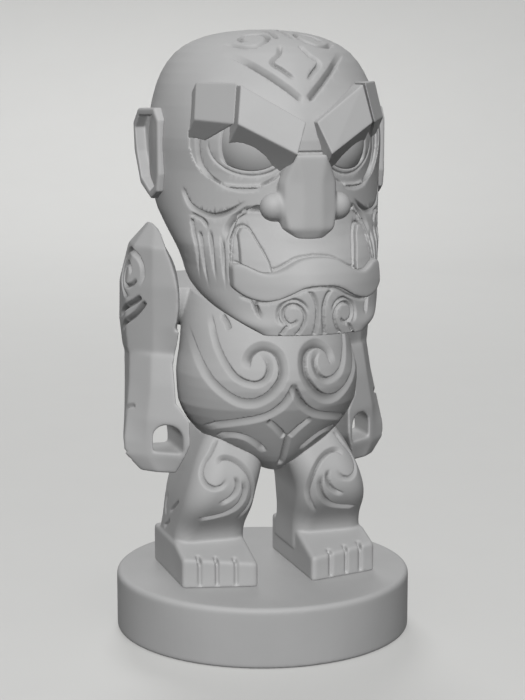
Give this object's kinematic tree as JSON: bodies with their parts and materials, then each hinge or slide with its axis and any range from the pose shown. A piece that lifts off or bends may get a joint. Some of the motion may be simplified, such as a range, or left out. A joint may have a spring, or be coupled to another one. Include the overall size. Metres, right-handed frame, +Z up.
{
  "type": "tiki figure",
  "caption": "Tiki figure with a big fanged mask head, block arms with grip holes, stout legs and a round plinth; head turns and arms swing.",
  "frame": {"origin": "centre of the plinth's underside", "axes": "+Z up; the figure faces -Y; its left hand is on the +X side"},
  "size_m": [0.09, 0.0989, 0.1812],
  "materials": {
    "grey_resin": "matte",
    "steel_screws": "satin",
    "steel_pins": "satin",
    "wood_dowels": "matte",
    "nylon_washer": "matte"
  },
  "bodies": {
    "base": {"plinth": "grey_resin", "foot_screws": "steel_screws", "left_leg": "grey_resin", "right_leg": "grey_resin", "hip_dowels": "wood_dowels", "torso": "grey_resin", "neck_post": "steel_pins", "neck_washer": "nylon_washer"},
    "head_unit": {"head": "grey_resin", "left_ear": "grey_resin", "right_ear": "grey_resin", "left_inner_brow": "grey_resin", "right_inner_brow": "grey_resin", "left_outer_brow": "grey_resin", "right_outer_brow": "grey_resin", "nose": "grey_resin", "left_eye": "grey_resin", "right_eye": "grey_resin", "lower_lip": "grey_resin", "left_fang": "grey_resin", "right_fang": "grey_resin"},
    "left_arm_unit": {"left_arm": "grey_resin", "left_shoulder_pin": "steel_pins"},
    "right_arm_unit": {"right_arm": "grey_resin", "right_shoulder_pin": "steel_pins"}
  },
  "joints": [
    {"name": "head_turn", "type": "hinge", "parent": "base", "child": "head_unit", "pos_m": [0, 0.002, 0.103], "axis": [0, 0, 1], "range_deg": [-8, 8]},
    {"name": "left_arm_swing", "type": "hinge", "parent": "base", "child": "left_arm_unit", "pos_m": [0.03, 0.01, 0.102], "axis": [1, 0, 0], "range_deg": [-45, 20]},
    {"name": "right_arm_swing", "type": "hinge", "parent": "base", "child": "right_arm_unit", "pos_m": [-0.03, 0.01, 0.102], "axis": [1, 0, 0], "range_deg": [-45, 20]}
  ]
}
